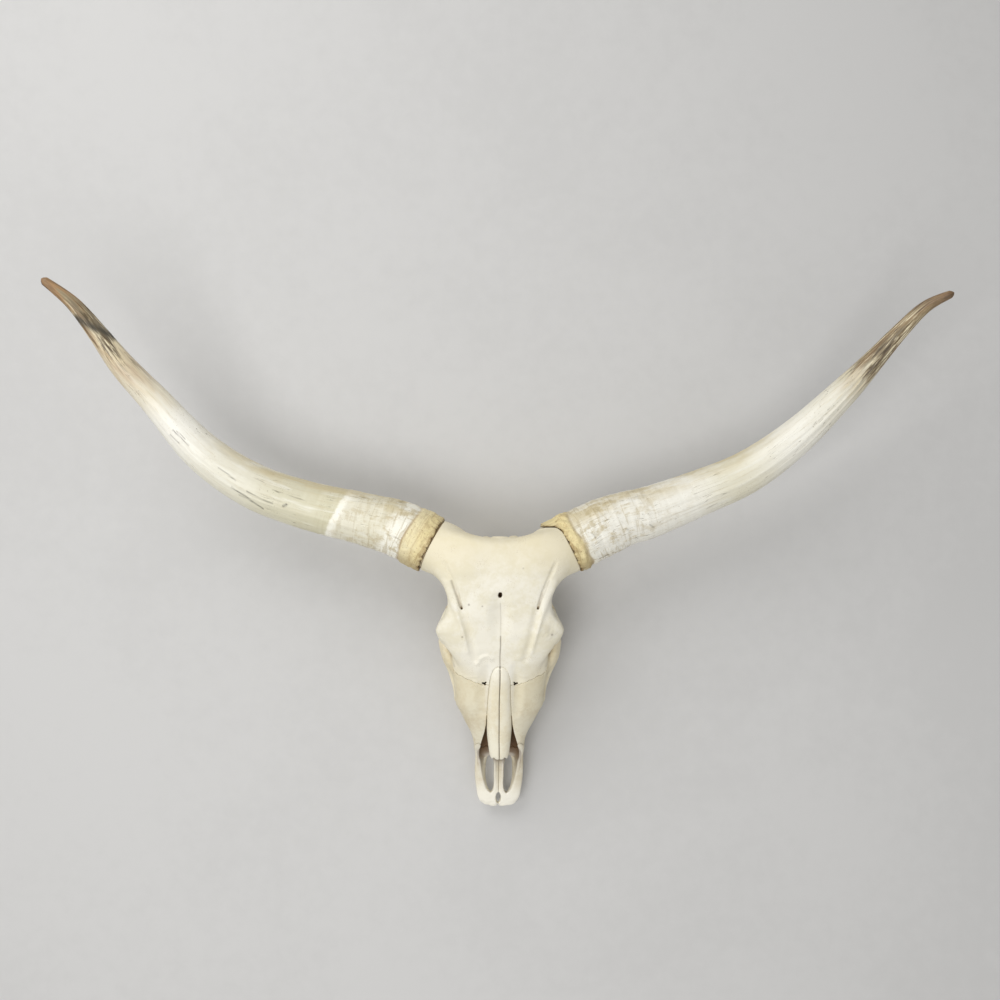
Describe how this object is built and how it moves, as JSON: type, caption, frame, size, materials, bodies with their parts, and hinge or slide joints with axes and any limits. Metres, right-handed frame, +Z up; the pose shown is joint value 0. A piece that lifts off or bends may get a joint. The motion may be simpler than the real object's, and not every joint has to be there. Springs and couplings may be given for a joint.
{
  "type": "longhorn steer skull",
  "caption": "Life-size skull of a longhorn steer without its lower jaw, with long sweeping horns, resting on its cheek teeth and the back of the skull.",
  "frame": {"origin": "centre of the bounding box in plan, at the floor that the skull rests on", "axes": "+X to the animal's left along the span of the horns, +Y towards the back of the head, +Z up through the forehead"},
  "size_m": [1.5988, 1.003, 0.3243],
  "materials": {
    "bone": "dry cleaned bone, cream to pale grey, matt to satin",
    "nasal_bone": "dry cleaned bone, paler, satin",
    "jaw_bone": "dry cleaned bone, darker cream, with enamel and dentine cheek teeth",
    "horn_base": "rough yellow horn rim",
    "horn": "pale horn with streaks and faint growth rings, half gloss",
    "horn_tip": "brown and tan streaked horn, half gloss"
  },
  "bodies": {
    "root": {"cranium": "bone", "cheekbone_left": "bone", "cheekbone_right": "bone", "upper_jaw_left": "jaw_bone", "nasal_left": "nasal_bone", "premaxilla_left": "bone", "horn_base_left": "horn_base", "horn_left": "horn", "horn_tip_left": "horn_tip", "upper_jaw_right": "jaw_bone", "nasal_right": "nasal_bone", "premaxilla_right": "bone", "horn_base_right": "horn_base", "horn_right": "horn", "horn_tip_right": "horn_tip"}
  },
  "joints": []
}
